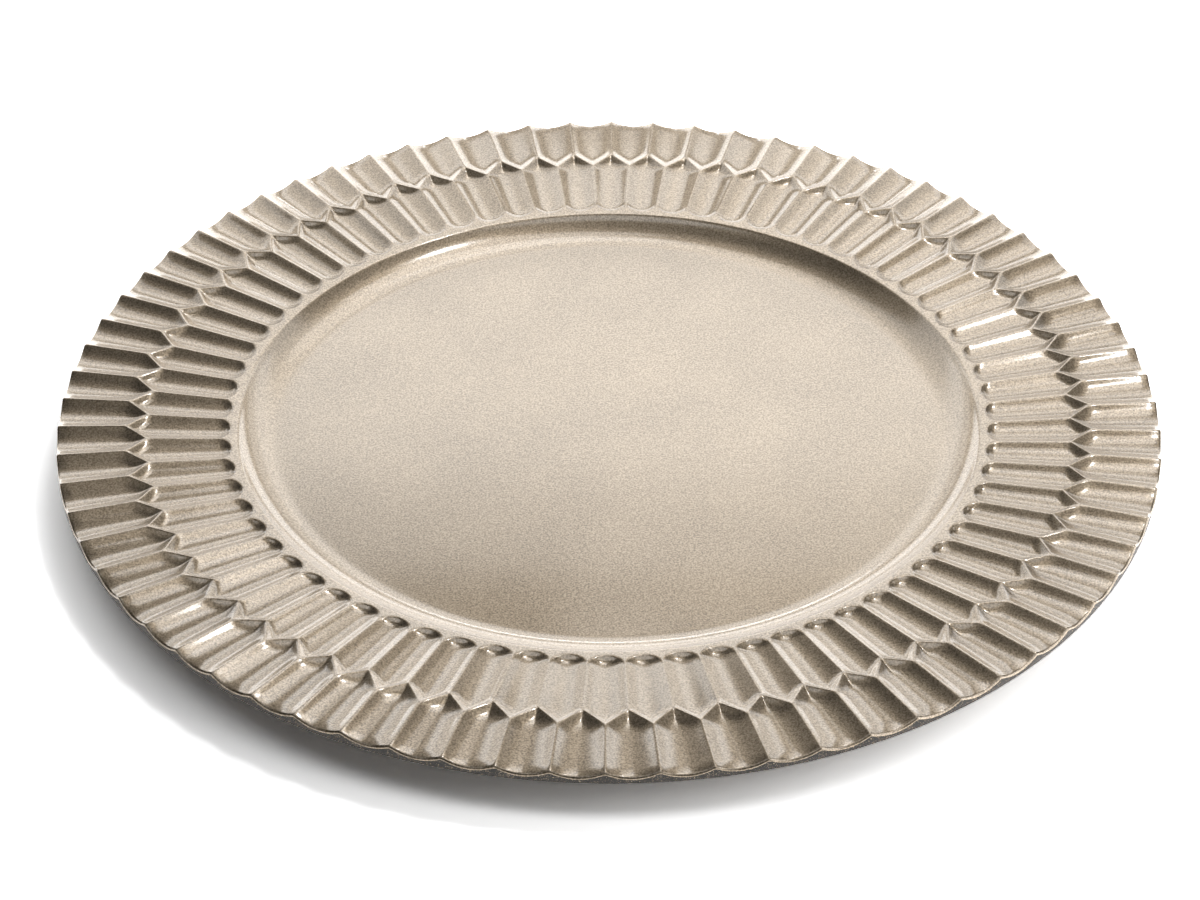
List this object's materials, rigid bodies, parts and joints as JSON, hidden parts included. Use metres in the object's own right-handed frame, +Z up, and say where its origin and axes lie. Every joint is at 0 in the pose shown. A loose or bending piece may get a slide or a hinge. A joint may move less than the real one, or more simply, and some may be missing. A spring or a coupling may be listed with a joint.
{
  "type": "charger plate",
  "caption": "Round moulded charger plate with a flat well, a curved verge and a wide rim of interlocking inner and outer flutes, standing on stick-on rubber feet",
  "frame": {"origin": "on the plate's axis, in the plane of the table that its rubber feet stand on", "axes": "+Z up along the plate's axis of symmetry, with the well facing +Z; +X runs out along one ridge of the outer ring of flutes, and -Y faces the camera of the picture"},
  "size_m": [0.33, 0.33, 0.016],
  "materials": {
    "champagne_lacquer": "injection-moulded plastic with a satin champagne metallic lacquer of fine visible flake",
    "foot_rubber": "matt black anti-slip rubber",
    "foam_adhesive": "pale double-sided adhesive film"
  },
  "bodies": {
    "root": {"fluted_plate": "champagne_lacquer", "rubber_foot_1": "foot_rubber", "rubber_foot_2": "foot_rubber", "rubber_foot_3": "foot_rubber", "rubber_foot_4": "foot_rubber", "adhesive_disc_1": "foam_adhesive", "adhesive_disc_2": "foam_adhesive", "adhesive_disc_3": "foam_adhesive", "adhesive_disc_4": "foam_adhesive"}
  },
  "joints": []
}
